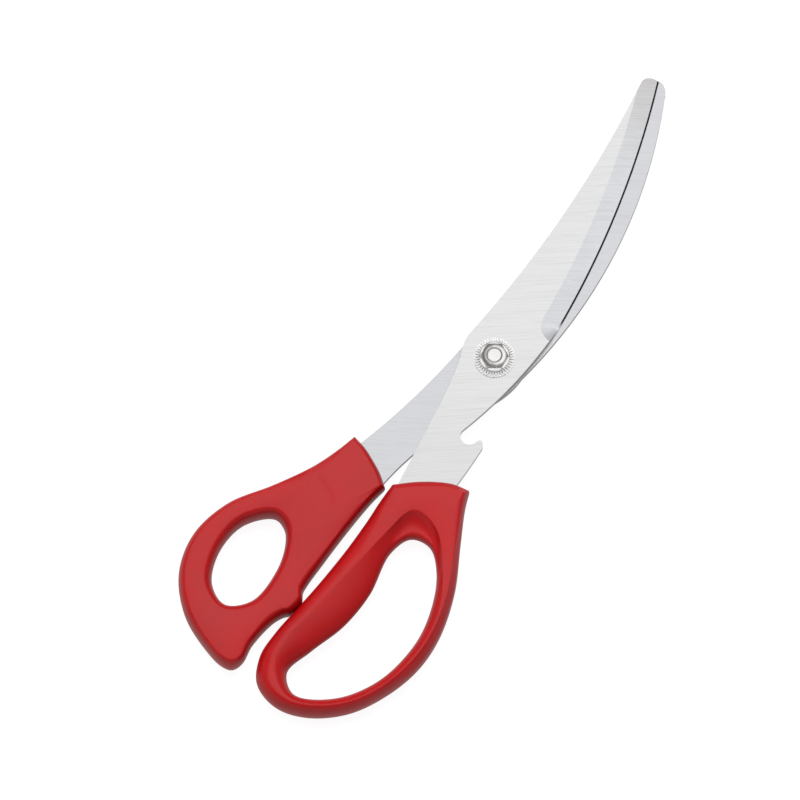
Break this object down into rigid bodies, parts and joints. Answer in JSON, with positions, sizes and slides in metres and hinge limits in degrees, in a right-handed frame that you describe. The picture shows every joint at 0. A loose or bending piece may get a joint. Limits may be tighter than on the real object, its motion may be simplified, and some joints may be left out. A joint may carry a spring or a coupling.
{
  "type": "poultry shears",
  "caption": "Long curved shears with a convex and a concave blade on a bolted pivot, opener notch, thumb loop and long finger loop in moulded plastic.",
  "frame": {"origin": "centre of the bolt head's outer face, on the pivot axis, in the plane that the closed shears lie on", "axes": "+Y along the blades towards the tip, +Z along the pivot axis towards the nut, +X to the finger handle's side"},
  "size_m": [0.1005, 0.2834, 0.013],
  "materials": {
    "blade_steel": "satin",
    "handle_plastic": "satin",
    "pivot_steel": "polished"
  },
  "bodies": {
    "lower_half": {"lower_blade": "blade_steel", "thumb_handle": "handle_plastic", "pivot_bolt": "pivot_steel", "pivot_nut": "pivot_steel", "serrated_washer": "pivot_steel"},
    "upper_half": {"upper_blade": "blade_steel", "finger_handle": "handle_plastic"}
  },
  "joints": [
    {"name": "pivot", "type": "hinge", "parent": "lower_half", "child": "upper_half", "pos_m": [0, 0, 0.0078], "axis": [0, 0, 1], "range_deg": [0, 130]}
  ]
}
